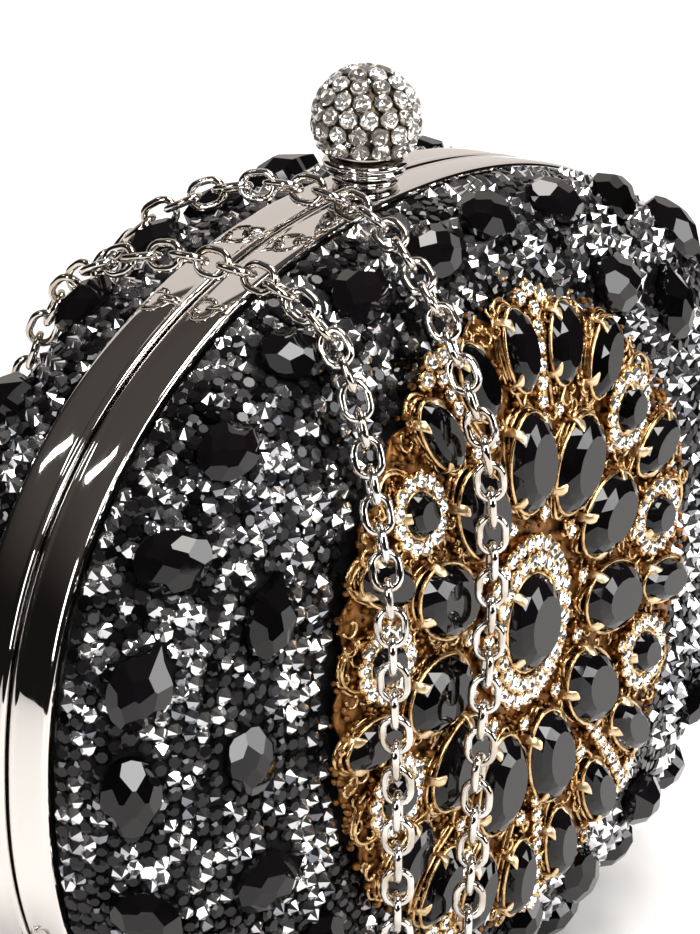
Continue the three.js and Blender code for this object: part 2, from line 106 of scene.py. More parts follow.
# Camera and floor
camera_azimuth, camera_elevation, camera_roll = radians(57.07), radians(19.4), radians(0.76)
camera_place = Vector((-0.5838, -0.3762 + seam_y, 0.2635 + centre_z))
camera_lens = 269.1
floor_reach = 0.8
square = np.array([(-1, -1, 0), (1, -1, 0), (1, 1, 0), (-1, 1, 0)])

# Chain
link_length = 5.95 * MM
link_width = 4.6 * MM
link_wire = 1.1 * MM
ring_wire_radius = 0.5 * MM

# The strap's route with the seam at Y = 0, in millimetres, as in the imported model
strap_route = [
    (-79.7, 3.4, 23.9), (-79.8, 3.8, 18), (-79.8, 5.4, 11.5), (-79.2, 9.5, 6), (-77.4, 16, 3.2),
    (-74, 22.5, 2.6), (-68.5, 28, 2.6), (-61, 32, 2.6), (-53.5, 33.8, 4.4), (-48.6, 33.6, 9.4),
    (-45.6, 32.8, 17), (-44.4, 32.2, 27), (-43.4, 31.8, 40), (-42.6, 31.6, 52), (-41.8, 31.6, 66),
    (-41, 31.2, 79), (-40.2, 30.2, 90), (-39.6, 27.9, 100.8), (-39.5, 24.9, 107.4), (-40, 20.8, 112.5),
    (-40.6, 14, 116.8), (-40.2, 4, 119.4), (-39.8, -3, 119.3), (-39.8, -9.5, 118.6), (-40.2, -15.6, 116.6),
    (-40.9, -20.9, 113.2), (-41.8, -25, 108), (-43.2, -28.2, 101), (-44.6, -31, 93), (-45.9, -33.4, 86),
    (-46.8, -35.2, 77), (-47, -35.9, 67), (-46.2, -36, 58), (-45.6, -35.9, 48), (-45, -35.6, 38),
    (-44.4, -35.3, 28), (-43.8, -35.2, 20), (-41.2, -35.2, 13.2), (-35.4, -35.2, 10), (-29.6, -35.2, 13.2),
    (-27.4, -35.3, 20), (-27.2, -35.8, 30), (-27.1, -36.3, 40), (-26.6, -36.6, 50), (-25.7, -36.8, 62),
    (-24.7, -36.8, 74), (-24.5, -36.6, 85), (-24.9, -36, 94), (-25.2, -34.2, 100.8), (-24.4, -31, 106.6),
    (-23, -27, 112), (-21.2, -22, 116.6), (-19, -16.2, 120.8), (-17.8, -10, 123), (-17.6, -3.4, 124.1),
    (-18.2, 3.2, 124), (-20, 9.8, 122.8), (-22, 15.3, 120.4), (-23.8, 20.6, 116.8), (-25.1, 25, 111.4),
    (-26, 28.5, 103.6), (-27.2, 30.8, 92.6), (-28.8, 32, 79), (-29, 32.2, 64), (-29.2, 32.4, 50),
    (-29.2, 33, 36), (-28.8, 34.2, 24), (-27.4, 36.2, 14), (-24, 39, 6.8), (-18, 41.8, 3.2),
    (-9, 43.8, 2.6), (5, 44, 2.6), (20, 42, 2.6), (36, 38.4, 2.6), (51, 32.6, 2.6),
    (64, 25, 2.6), (73, 17, 2.9), (78, 10.5, 5.2), (79.6, 6.2, 10.5), (79.9, 4, 17),
    (79.7, 3.4, 23.9),
]


# -------- camera, floor and light

def link_object(name, data):
    linked = bpy.data.objects.new(name, data)
    bpy.context.collection.objects.link(linked)
    return linked


def add_object(name, points, faces):
    mesh = bpy.data.meshes.new(name)
    mesh.from_pydata(np.asarray(points, float).tolist(), [], faces)
    return link_object(name, mesh)


def make_camera():
    sine, cosine = sin(camera_azimuth), cos(camera_azimuth)
    reach = cos(camera_elevation)
    forward = Vector((sine * reach, cosine * reach, -sin(camera_elevation)))
    level = Vector((cosine, -sine, 0))
    upright = level.cross(forward)
    right = level * cos(camera_roll) + upright * sin(camera_roll)
    up = upright * cos(camera_roll) - level * sin(camera_roll)
    turn = Matrix((right, up, -forward)).transposed().to_4x4()
    data = bpy.data.cameras.new("camera")
    data.sensor_fit = "HORIZONTAL"
    data.sensor_width = 36
    data.lens = camera_lens
    data.clip_end = 20
    camera = link_object("camera", data)
    camera.matrix_world = Matrix.Translation(camera_place) @ turn
    bpy.context.scene.camera = camera


def area_light(name, place, target, size, power, color=(1, 1, 1)):
    data = bpy.data.lights.new(name, "AREA")
    data.shape = "RECTANGLE"
    data.size, data.size_y = size
    data.energy = power
    data.color = color
    lamp = link_object(name, data)
    lamp.location = place
    lamp.rotation_euler = (Vector(target) - Vector(place)).to_track_quat("-Z", "Y").to_euler()
    lamp.visible_camera = False
    return lamp


def make_stage():
    floor = add_object("floor", square * floor_reach, [(0, 1, 2, 3)])
    floor.data.materials.append(new_material("pale_floor", (0.93, 0.925, 0.92), 0.55))
    middle = (0, 0, centre_z)
    area_light("key", (-0.55, -0.85, 1.0), middle, (0.5, 0.36), 9)
    area_light("side", (-1.1, 0.05, 0.55), middle, (0.16, 0.6), 4)
    area_light("top", (0.25, -0.22, 1.2), middle, (0.7, 0.34), 11, (1, 0.96, 0.92))
    backdrop = area_light("backdrop", (1.1, 0.9, 1.3), (1.1, 0.75, 0), (1.2, 1.0), 16)
    backdrop.visible_glossy = False
    area_light("front_fill", (0.42, -1.05, 0.45), middle, (0.52, 0.56), 7.6)
    area_light("window", (-0.345, 0.55, 0.88), middle, (0.05, 0.2), 0.4)
    make_world()
    bpy.context.scene.view_settings.view_transform = "Standard"


# White behind the bag, a dim room on the camera's side, so that polished pieces have something dark to mirror
def make_world():
    world = bpy.data.worlds.new("studio")
    bpy.context.scene.world = world
    world.use_nodes = True
    nodes, links = world.node_tree.nodes, world.node_tree.links
    background = nodes["Background"]
    direction = nodes.new("ShaderNodeTexCoord").outputs["Generated"]

    def lobe(axis, low, high):
        dot = nodes.new("ShaderNodeVectorMath")
        dot.operation = "DOT_PRODUCT"
        links.new(direction, dot.inputs[0])
        dot.inputs[1].default_value = Vector(axis).normalized()
        spread = nodes.new("ShaderNodeMapRange")
        spread.interpolation_type = "SMOOTHSTEP"
        spread.inputs["From Min"].default_value = low
        spread.inputs["From Max"].default_value = high
        links.new(dot.outputs["Value"], spread.inputs["Value"])
        return spread.outputs["Result"]

    def blend_to(base, color, share):
        mix = nodes.new("ShaderNodeMix")
        mix.data_type = "RGBA"
        links.new(share, mix.inputs["Factor"])
        if isinstance(base, tuple):
            mix.inputs["A"].default_value = base
        else:
            links.new(base, mix.inputs["A"])
        mix.inputs["B"].default_value = color
        return mix.outputs["Result"]

    room = blend_to((0.010, 0.009, 0.009, 1), (0.085, 0.075, 0.07, 1), lobe((0, 0, 1), 0.3, 0.85))
    room = blend_to(room, (0.82, 0.76, 0.72, 1), lobe((0.85, 0.5, 0.2), 0.762, 0.776))
    shown = nodes.new("ShaderNodeLightPath").outputs["Is Camera Ray"]
    sky = blend_to(room, (1.0, 1.0, 1.0, 1), shown)
    links.new(sky, background.inputs["Color"])


# -------- surface of the domed halves

def signed_power(value, power):
    return np.sign(value) * np.abs(value) ** power


def outline(angle, inset=0.0):
    x = (half_width - inset) * signed_power(np.cos(angle), 2 / outline_power)
    z = (half_height - inset) * signed_power(np.sin(angle), 2 / outline_power)
    return x, z


def dome_points(angle, latitude, side, inset=0.0):
    """Points of a dome layer; latitude goes from 0 at the rim to a right angle at the crown."""
    scale = np.cos(latitude) ** (2 / edge_power)
    x, z = outline(angle, inset)
    y = dome_start + (dome_depth - inset) * np.sin(latitude) ** (2 / crown_power)
    return np.stack([x * scale, seam_y + side * y, centre_z + z * scale], -1)


def dome_shares(points, side):
    """Places across, up and out of a dome as shares of its half sizes, and the outline share they lie on."""
    x, z = points[:, 0] / half_width, (points[:, 2] - centre_z) / half_height
    rise = np.clip((side * (points[:, 1] - seam_y) - dome_start) / dome_depth, 0, 1)
    across = (np.abs(x) ** outline_power + np.abs(z) ** outline_power) ** (1 / outline_power)
    return x, z, rise, across


def dome_coordinates(points, side):
    """Angle and latitude of the dome point nearest to each point."""
    x, z, rise, across = dome_shares(points, side)
    angle = np.arctan2(signed_power(z, outline_power / 2), signed_power(x, outline_power / 2))
    return angle, np.arctan2(rise ** (crown_power / 2), across ** (edge_power / 2))


def dome_normals(points, side):
    x, z, rise, across = dome_shares(points, side)
    least = 1e-4
    slope = edge_power * np.maximum(across, least) ** (edge_power - outline_power)
    normal = np.stack([
        slope * signed_power(x, outline_power - 1) / half_width,
        side * crown_power * np.maximum(rise, least) ** (crown_power - 1) / dome_depth,
        slope * signed_power(z, outline_power - 1) / half_height,
    ], -1)
    return normal / np.linalg.norm(normal, axis=1, keepdims=True)


def run_along(points):
    """Distance run at each of a row of points."""
    return np.concatenate([[0], np.cumsum(np.linalg.norm(np.diff(points, axis=0), axis=1))])


def level_row(latitude, side):
    """Angles round a dome at one latitude, and the distance run at each."""
    turn = np.linspace(0, 2 * pi, 721)
    return turn, run_along(dome_points(turn, np.full(len(turn), latitude), side))


def front_point(x, z, lift=0.0):
    """Point on the front surface over x, z, lifted straight outwards."""
    across = abs(x / half_width) ** outline_power + abs((z - centre_z) / half_height) ** outline_power
    rise = max(0.0, 1 - across ** (edge_power / outline_power))
    return Vector((x, seam_y - dome_start - lift - dome_depth * rise ** (1 / crown_power), z))


def front_frame(radius, angle, lift=0.0):
    """Frame on the front surface: X along the ray from the rosette's centre, Z outwards."""
    x = rosette_x + radius * cos(angle)
    z = rosette_z + radius * sin(angle)
    step = 0.5 * MM
    across = front_point(x + step, z) - front_point(x - step, z)
    up = front_point(x, z + step) - front_point(x, z - step)
    outward = across.cross(up).normalized()
    along = across * cos(angle) + up * sin(angle)
    along = (along - outward * along.dot(outward)).normalized()
    side = outward.cross(along)
    place = front_point(x, z) + outward * lift
    turn = Matrix((along, side, outward)).transposed().to_4x4()
    return Matrix.Translation(place) @ turn


# -------- mesh helpers

def turns(count, start=0.0):
    """Even angles round a circle."""
    return (np.arange(count) + start) / count * 2 * pi


def ring(count, x_radius, y_radius, height, start=0.0):
    steps = turns(count, start)
    return np.stack([x_radius * np.cos(steps), y_radius * np.sin(steps), np.full(count, height)], -1)


def stack(rings, turned=(), looped=False):
    """Faces between rings, capped or looped back. Turned rings are half a step on from the last."""
    count, last = len(rings[0]), len(rings) - 1
    faces = []
    for i in range(last + looped):
        low, high = i * count, (i + 1) % len(rings) * count
        for j in range(count):
            k = (j + 1) % count
            if i + 1 in turned:
                faces += [(low + j, low + k, high + j), (high + j, low + k, high + k)]
            else:
                faces.append((low + j, low + k, high + k, high + j))
    if not looped:
        faces.append(tuple(range(count - 1, -1, -1)))
        faces.append(tuple(range(last * count, (last + 1) * count)))
    return np.concatenate(rings), faces


def with_apex(points, faces, height):
    """Replaces the top cap by facets that meet in a point."""
    top = faces.pop()
    apex = len(points)
    faces += [(top[j], top[(j + 1) % len(top)], apex) for j in range(len(top))]
    return np.concatenate([points, [[0, 0, height]]]), faces


def copies(template, frames):
    """Copies of a template at 4x4 frames, as one list of points and faces."""
    points, faces = template
    frames = np.asarray(frames, float).reshape(-1, 4, 4)
    placed = np.einsum("nij,pj->npi", frames[:, :3, :3], points) + frames[:, None, :3, 3]
    count = len(points)
    out = []
    for n in range(len(frames)):
        start = n * count
        out += [tuple(start + index for index in face) for face in faces]
    return placed.reshape(-1, 3), out


def join(parts):
    points, faces, start = [], [], 0
    for part_points, part_faces in parts:
        points.append(part_points)
        faces += [tuple(start + index for index in face) for face in part_faces]
        start += len(part_points)
    return np.concatenate(points), faces


def make_piece(name, shape, material, smooth=False):
    piece = add_object(name, *shape)
    mesh = piece.data
    mesh.validate()
    mesh.update()
    if smooth:
        mesh.polygons.foreach_set("use_smooth", [True] * len(mesh.polygons))
    mesh.materials.append(materials[material])
    return piece


def metal_piece(name, shape, material):
    return make_piece(name, shape, material, smooth=True)


def frames_on(points, normals, spin, scale, tilt=0.0):
    """4x4 frames with Z along the normals, turned by spin, tilted at random and scaled."""
    normals = normals + tilt * draws.normal(size=normals.shape)
    normals /= np.linalg.norm(normals, axis=1, keepdims=True)
    helper = np.where(np.abs(normals[:, 2:3]) < 0.9, [[0, 0, 1]], [[1, 0, 0]])
    first = np.cross(helper, normals)
    first /= np.linalg.norm(first, axis=1, keepdims=True)
    second = np.cross(normals, first)
    cosine, sine = np.cos(spin)[:, None], np.sin(spin)[:, None]
    frames = np.zeros((len(points), 4, 4))
    frames[:, :3, 0] = (first * cosine + second * sine) * scale[:, None]
    frames[:, :3, 1] = (second * cosine - first * sine) * scale[:, None]
    frames[:, :3, 2] = normals * scale[:, None]
    frames[:, :3, 3] = points
    frames[:, 3, 3] = 1
    return frames


def tube(path, radius, sides=8, closed=False, up=(0.3, 0.2, 0.93)):
    """Round wire along a path of points."""
    path = np.asarray(path, float)
    tangents = np.roll(path, -1, 0) - np.roll(path, 1, 0)
    if not closed:
        tangents[0], tangents[-1] = path[1] - path[0], path[-1] - path[-2]
    tangents /= np.linalg.norm(tangents, axis=1, keepdims=True)
    side = np.cross(tangents[0], up)
    steps = turns(sides)
    rings = []
    for point, tangent in zip(path, tangents):
        side = side - tangent * side.dot(tangent)
        side /= np.linalg.norm(side)
        other = np.cross(tangent, side)
        rings.append(point + radius * (np.outer(np.cos(steps), side) + np.outer(np.sin(steps), other)))
    return stack(rings, looped=closed)


def clasp_ring(count, radius, height):
    """Circle round the clasp's axis."""
    return ring(count, radius, radius, height) + [0, seam_y, 0]


# -------- materials

def new_material(name, color, roughness, metallic=0.0, **uniform):
    material = bpy.data.materials.new(name)
    material.use_nodes = True
    inputs = shader_inputs(material)
    inputs["Base Color"].default_value = (*color, 1)
    inputs["Roughness"].default_value = roughness
    inputs["Metallic"].default_value = metallic
    for socket, value in uniform.items():
        inputs[socket.replace("_", " ")].default_value = value
    return material


def shader_inputs(material):
    return material.node_tree.nodes["Principled BSDF"].inputs


def feed(material, socket, source):
    material.node_tree.links.new(source, shader_inputs(material)[socket])


def texture(material, kind, scale, output="Fac", **settings):
    nodes, links = material.node_tree.nodes, material.node_tree.links
    place = nodes.new("ShaderNodeTexCoord")
    stretch = nodes.new("ShaderNodeMapping")
    stretch.inputs["Scale"].default_value = settings.pop("stretch", (1, 1, 1))
    links.new(place.outputs["Object"], stretch.inputs["Vector"])
    node = nodes.new(f"ShaderNodeTex{kind}")
    node.inputs["Scale"].default_value = scale
    for socket, value in settings.items():
        node.inputs[socket.replace("_", " ")].default_value = value
    links.new(stretch.outputs["Vector"], node.inputs["Vector"])
    return node.outputs[output]


def spread(material, source, *limits):
    node = material.node_tree.nodes.new("ShaderNodeMapRange")
    material.node_tree.links.new(source, node.inputs["Value"])
    for socket, value in zip(("From Min", "From Max", "To Min", "To Max"), limits):
        node.inputs[socket].default_value = value
    return node.outputs["Result"]


def ramp(material, source, stops):
    node = material.node_tree.nodes.new("ShaderNodeValToRGB")
    material.node_tree.links.new(source, node.inputs["Fac"])
    elements = node.color_ramp.elements
    while len(elements) < len(stops):
        elements.new(0.5)
    for element, (position, color) in zip(elements, stops):
        element.position = position
        element.color = (*color, 1)
    return node.outputs["Color"]


def add_bump(material, height, strength, distance):
    node = material.node_tree.nodes.new("ShaderNodeBump")
    node.inputs["Strength"].default_value = strength
    node.inputs["Distance"].default_value = distance
    material.node_tree.links.new(height, node.inputs["Height"])
    feed(material, "Normal", node.outputs["Normal"])


def vary_roughness(material, limits, scale, **settings):
    """Roughness between the last two limits where a noise is between the first two."""
    noise = texture(material, "Noise", scale, **settings)
    feed(material, "Roughness", spread(material, noise, *limits))


def island_value(material):
    return material.node_tree.nodes.new("ShaderNodeNewGeometry").outputs["Random Per Island"]


def stone_material(name, roughness, metallic, stops, **uniform):
    """Glass or foiled stone whose shade differs from stone to stone."""
    material = new_material(name, stops[-1][1], roughness, metallic, **uniform)
    feed(material, "Base Color", ramp(material, island_value(material), stops))
    return material


def polished_nickel():
    material = new_material("polished_nickel", (0.72, 0.69, 0.66), 0.05, 1.0)
    vary_roughness(material, (0.35, 0.75, 0.015, 0.07), 240, Detail=6, stretch=(1, 5, 1))
    add_bump(material, texture(material, "Noise", 60, Detail=3), 0.05, 0.0006)
    return material


def chain_nickel():
    material = new_material("chain_nickel", (0.70, 0.67, 0.63), 0.08, 1.0)
    vary_roughness(material, (0.35, 0.7, 0.04, 0.16), 900, Detail=3)
    tarnish = texture(material, "Noise", 260, Detail=2)
    shades = [(0.38, (0.52, 0.46, 0.39)), (0.6, (0.74, 0.71, 0.68))]
    feed(material, "Base Color", ramp(material, tarnish, shades))
    return material


# Shades of the foiled stones, from the darkest stone to the lightest
silver_shades = [
    (0.0, (0.13, 0.14, 0.16)), (0.25, (0.42, 0.42, 0.45)), (0.55, (0.82, 0.82, 0.82)),
    (1.0, (0.95, 0.95, 0.95)),
]
clear_shades = [(0.0, (0.74, 0.7, 0.63)), (0.35, (0.92, 0.9, 0.86)), (1.0, (1, 0.99, 0.97))]
ball_shades = [(0.0, (0.46, 0.43, 0.39)), (0.6, (0.82, 0.79, 0.75)), (1.0, (1, 1, 1))]


def jet_stone():
    shades = [(0.0, (0.001, 0.001, 0.001)), (1.0, (0.009, 0.008, 0.009))]
    material = stone_material("jet_stone", 0.1, 0.0, shades, IOR=1.37)
    feed(material, "Roughness", spread(material, island_value(material), 0.0, 1.0, 0.05, 0.22))
    return material


def large_jet():
    shades = [(0.0, (0.001, 0.001, 0.001)), (1.0, (0.005, 0.004, 0.005))]
    material = stone_material("large_jet", 0.03, 0.0, shades, IOR=1.43)
    vary_roughness(material, (0.4, 0.8, 0.015, 0.07), 300, Detail=4)
    return material


def gold_metal(name="gold", dark=(0.22, 0.10, 0.03), bright=(0.80, 0.56, 0.28), rough=(0.12, 0.35)):
    material = new_material(name, bright, 0.2, 1.0)
    mottle = texture(material, "Noise", 700, Detail=4)
    feed(material, "Base Color", ramp(material, mottle, [(0.3, dark), (0.62, bright)]))
    feed(material, "Roughness", spread(material, mottle, 0.3, 0.7, *rough))
    add_bump(material, mottle, 0.25, 0.0002)
    return material


def base_cloth():
    material = new_material("base_cloth", (0.003, 0.003, 0.003), 0.8, Specular_IOR_Level=0.2)
    add_bump(material, texture(material, "Voronoi", 1400, "Distance"), 0.6, 0.0002)
    return material


def lining_satin():
    material = new_material("lining_satin", (0.012, 0.011, 0.014), 0.42, Sheen_Weight=0.5)
    add_bump(material, texture(material, "Wave", 900, Distortion=0.6), 0.3, 0.0001)
    return material


def shell_board():
    material = new_material("shell_board", (0.03, 0.03, 0.033), 0.45)
    add_bump(material, texture(material, "Noise", 500, Detail=3), 0.2, 0.0002)
    return material


def drawn_steel():
    material = new_material("drawn_steel", (0.5, 0.5, 0.49), 0.32, 1.0)
    vary_roughness(material, (0.3, 0.7, 0.22, 0.45), 500, Detail=2, stretch=(1, 12, 1))
    return material


# -------- cut stones

def pointed_stone():
    """Small stone set point up: a girdle and eight facets that meet in a point."""
    return with_apex(*stack([ring(8, 1, 1, 0.0), ring(8, 1, 1, 0.32)]), 1.12)


def table_stone():
    """Small stone with a flat table."""
    return stack([ring(8, 1, 1, 0.0), ring(8, 1, 1, 0.3), ring(8, 0.62, 0.62, 0.62)])


def brilliant():
    """Foil-backed round stone: a girdle, crown facets, and the pavilion seen through the table."""
    return with_apex(*stack([
        ring(8, 1, 1, -0.3), ring(8, 1, 1, 0.1), ring(8, 0.8, 0.8, 0.42, 0.5), ring(8, 0.56, 0.56, 0.5, 1.0),
        ring(8, 0.36, 0.36, 0.3, 1.5),
    ], turned=(2, 3, 4)), 0.12)


def step_oval(length, width, height, count=16):
    """Oval stone with a girdle, two rows of crown facets and a wide table."""
    a, b = length / 2, width / 2
    return stack([
        ring(count, a * 0.8, b * 0.8, 0), ring(count, a, b, height * 0.35),
        ring(count, a * 0.86, b * 0.86, height * 0.74, 0.5), ring(count, a * 0.62, b * 0.62, height, 1.0),
    ], turned=(2, 3))


def cut_gem(outline_points, height, planes):
    """Convex stone left when planes, given as point and normal, cut a block of the outline's shape."""
    gem = bmesh.new()
    count = len(outline_points)
    low = [gem.verts.new((x, y, 0)) for x, y in outline_points]
    high = [gem.verts.new((x, y, height)) for x, y in outline_points]
    gem.faces.new(low[::-1])
    gem.faces.new(high)
    for j in range(count):
        k = (j + 1) % count
        gem.faces.new((low[j], low[k], high[k], high[j]))
    for point, normal in planes:
        geometry = gem.verts[:] + gem.edges[:] + gem.faces[:]
        result = bmesh.ops.bisect_plane(gem, geom=geometry, plane_co=point, plane_no=normal, clear_outer=True)
        edges = [item for item in result["geom_cut"] if isinstance(item, bmesh.types.BMEdge)]
        if len(edges) > 2:
            bmesh.ops.contextual_create(gem, geom=edges)
    bmesh.ops.recalc_face_normals(gem, faces=gem.faces[:])
    gem.verts.index_update()
    points = np.array([vert.co[:] for vert in gem.verts])
    faces = [tuple(vert.index for vert in face.verts) for face in gem.faces]
    gem.free()
    return points, faces


def chequer_stone(length, width, height, point=0.0):
    """Domed stone cut in a chequer of square facets, drawn in at one end by the point value."""
    def edge_radius(angle):
        taper = 1 - point * max(0.0, cos(angle)) ** 2.5 * abs(sin(angle)) ** 0.5
        return taper / hypot(cos(angle) / (length / 2), sin(angle) / (width / 2))

    def lift(x, y):
        share = hypot(x, y) / edge_radius(atan2(y, x)) if x or y else 0.0
        return height * (1 - min(share, 0.98) ** 2.3) ** 0.62

    outline_points = []
    for angle in turns(24):
        outline_points.append((edge_radius(angle) * cos(angle), edge_radius(angle) * sin(angle)))
    planes = []
    facet, small = 1.5 * MM, 0.05 * MM
    reach = int(length / 2 / facet) + 1
    for i in range(-reach, reach + 1):
        for j in range(-reach, reach + 1):
            x, y = i * facet, j * facet * 0.92
            if (i + j) % 2 or hypot(x, y) > 0.93 * edge_radius(atan2(y, x)):
                continue
            slope_x = (lift(x + small, y) - lift(x - small, y)) / (2 * small)
            slope_y = (lift(x, y + small) - lift(x, y - small)) / (2 * small)
            planes.append(((x, y, lift(x, y)), (-slope_x, -slope_y, 1)))
    return cut_gem(outline_points, height * 1.1, planes)


# -------- pave

def pave_sites(side):
    """Evenly spread places on a dome, from jittered rows pushed apart."""
    fine = np.linspace(0, pi / 2, 400)
    run = run_along(dome_points(np.full(len(fine), pi * 0.27), fine, side))
    rows = []
    row_gap = stone_pitch * 0.88
    for position in np.arange(row_gap * 0.55, run[-1], row_gap):
        latitude = np.interp(position, run, fine)
        turn, length = level_row(latitude, side)
        count = max(1, int(length[-1] / stone_pitch))
        places = (np.arange(count) + draws.random()) / count * length[-1]
        rows.append(np.stack([np.interp(places, length, turn), np.full(count, latitude)], -1))
    sites = np.concatenate(rows)
    points = dome_points(sites[:, 0], sites[:, 1], side)
    points += draws.normal(scale=0.28 * MM, size=points.shape)
    for _ in range(5):
        points = push_apart(points, side)
    return points


def push_apart(points, side):
    tree = KDTree(len(points))
    for i, point in enumerate(points):
        tree.insert(point, i)
    tree.balance()
    moved = points.copy()
    for i, point in enumerate(points):
        for other, j, distance in tree.find_range(point, stone_pitch):
            if j != i and distance > 1e-7:
                moved[i] += (point - points[j]) / distance * (stone_pitch - distance) * 0.28
    angle, latitude = dome_coordinates(moved, side)
    return dome_points(angle, np.clip(latitude, 0.06, pi / 2), side)


def large_stone_sites(side):
    """Places of the large black stones: two staggered rings near the rim, and more within on the rear."""
    sites = []
    for latitude, count, start in ((0.47, 26, 0.1), (1.0, 19, 0.35)):
        turn, length = level_row(latitude, side)
        places = ((np.arange(count) + start) / count * length[-1]) % length[-1]
        angles = np.interp(places, length, turn) + draws.normal(scale=0.012, size=count)
        sites.append(np.stack([angles, latitude + draws.normal(scale=0.03, size=count)], -1))
    sites = np.concatenate(sites)
    points = dome_points(sites[:, 0], sites[:, 1], side)
    if side == REAR:
        inner = []
        for radius, count in ((14 * MM, 5), (31 * MM, 11)):
            for i in range(count):
                angle = (i + 0.4 * draws.random()) / count * 2 * pi
                x, z = radius * 1.35 * cos(angle), radius * sin(angle)
                inner.append((x, seam_y + dome_start + dome_depth, centre_z + z))
        inner = dome_coordinates(np.array(inner), side)
        points = np.concatenate([points, dome_points(*inner, side)])
    else:
        points = points[rosette_distance(points) > rosette_radius + 4 * MM]
    return points


def above_floor(template, frames):
    """Which copies of a template stay clear of the floor."""
    heights = np.einsum("nj,pj->np", frames[:, 2, :3], template[0]) + frames[:, None, 2, 3]
    return heights.min(axis=1) > 0.05 * MM


def rosette_distance(points):
    return np.hypot(points[:, 0] - rosette_x, points[:, 2] - rosette_z)


def make_pave(prefix, side):
    large = large_stone_sites(side)
    large_normals = dome_normals(large, side)
    spin = draws.uniform(0, 2 * pi, len(large))
    length, width = 10.4 * MM, 7.6 * MM
    seats = large - large_normals * 1.1 * MM
    scale = draws.uniform(0.92, 1.06, len(large))
    large_frames = frames_on(seats, large_normals, spin, scale, 0.05)
    pear = chequer_stone(length * 1.1, width * 1.04, 3.7 * MM, 0.5)
    oval = chequer_stone(length, width * 1.04, 3.6 * MM)
    large_frames = large_frames[above_floor(pear, large_frames)]
    pears, ovals = copies(pear, large_frames[::2]), copies(oval, large_frames[1::2])
    stones = make_piece(f"{prefix}_large_stones", join([pears, ovals]), "large_jet")

    points = pave_sites(side)
    normals = dome_normals(points, side)
    keep = np.ones(len(points), bool)
    clear_length, clear_width = length / 2 + 0.2 * MM, width / 2 + 0.2 * MM
    for large_frame in large_frames:
        local = (points - large_frame[:3, 3]) @ large_frame[:3, :3] / np.sum(large_frame[:3, 0] ** 2)
        inside = (local[:, 0] / clear_length) ** 2 + (local[:, 1] / clear_width) ** 2 < 1
        keep &= ~(inside & (np.abs(local[:, 2]) < 6 * MM))
    if side == FRONT:
        keep &= rosette_distance(points) > rosette_radius * 0.93
    points, normals = points[keep], normals[keep]
    count = len(points)
    seats = points - normals * cloth_inset
    size = stone_radius * draws.uniform(0.84, 1.06, count)
    frames = frames_on(seats, normals, draws.uniform(0, 2 * pi, count), size, 0.13)
    frames = frames[above_floor(pointed_stone(), frames)]
    points = frames[:, :3, 3]
    clusters = np.sin(points[:, 0] * 310 + 1.3 * side) + np.sin(points[:, 2] * 270 + points[:, 0] * 90)
    silver = draws.random(len(points)) < 0.49 + 0.12 * clusters
    bright_stones = copies(pointed_stone(), frames[silver])
    bright = make_piece(f"{prefix}_foiled_stones", bright_stones, "silver_stone")
    dark_stones = copies(table_stone(), frames[~silver])
    dark = make_piece(f"{prefix}_jet_stones", dark_stones, "jet_stone")
    skin = dome_skin(side, cloth_inset + 0.1 * MM)
    cloth = make_piece(f"{prefix}_stone_cloth", skin, "base_cloth", smooth=True)
    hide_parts(f"{prefix}_crystal_cover")
    for piece in (stones, bright, dark, cloth):
        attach(piece, f"{prefix}_half")


def dome_skin(side, inset, around=160, up=36, thickness=0.4 * MM):
    """Thin closed dome layer."""
    turn = turns(around)
    outer, inner = [], []
    for i in range(up):
        latitude = np.full(around, i / (up - 0.5) * pi / 2)
        outer.insert(0, dome_points(turn, latitude, side, inset))
        inner.append(dome_points(turn, latitude, side, inset + thickness))
    points, faces = stack(outer + inner)
    if side == FRONT:
        faces = [face[::-1] for face in faces]
    return points, faces


# -------- rims, linings and small metal pieces

def rim_shape(side, around=480):
    """Polished band with a rolled lip at the seam and a softened edge at the stones."""
    section = [
        (0.3, 2.4), (0.3, 0.75), (0.36, 0.42), (0.52, 0.17), (0.78, 0.06), (1.05, 0.02), (1.25, 0.06),
        (1.4, 0.1), (1.7, 0.08), (2.6, 0.02), (4.2, 0.0), (5.6, 0.03), (6.2, 0.12), (6.5, 0.32), (6.6, 0.6),
        (6.6, 2.4),
    ]
    turn = turns(around)
    rings = []
    for y, inset in section:
        x, z = outline(turn, inset * MM)
        height = np.maximum(centre_z + z, 0)
        rings.append(np.stack([x, np.full(around, seam_y + side * y * MM), height], -1))
    points, faces = stack(rings, looped=True)
    if side == REAR:
        faces = [face[::-1] for face in faces]
    return points, faces


def cut_rim(piece, cutters):
    for cutter in cutters:
        modifier = piece.modifiers.new("cut", "BOOLEAN")
        modifier.object = cutter
        modifier.operation = "DIFFERENCE"
        modifier.solver = "EXACT"
    bpy.context.view_layer.update()
    depsgraph = bpy.context.evaluated_depsgraph_get()
    mesh = bpy.data.meshes.new_from_object(piece.evaluated_get(depsgraph))
    piece.modifiers.clear()
    piece.data = mesh


def make_rims():
    hinge_reach = 28.3 * MM
    flat = square * (hinge_reach, 2.4 * MM, 0)
    channel = stack([flat + (0, seam_y, height * MM) for height in (-1, 6)])
    stem_hole = stack([clasp_ring(48, 2.1 * MM, rim_top + height * MM) for height in (-4, 1)])
    cutters = [add_object("hinge_cutter", *channel), add_object("stem_cutter", *stem_hole)]
    for prefix, side in halves:
        piece = metal_piece(f"{prefix}_band", rim_shape(side), "nickel")
        cut_rim(piece, cutters)
        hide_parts(f"{prefix}_rim")
        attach(piece, f"{prefix}_half")
    for cutter in cutters:
        bpy.data.objects.remove(cutter)


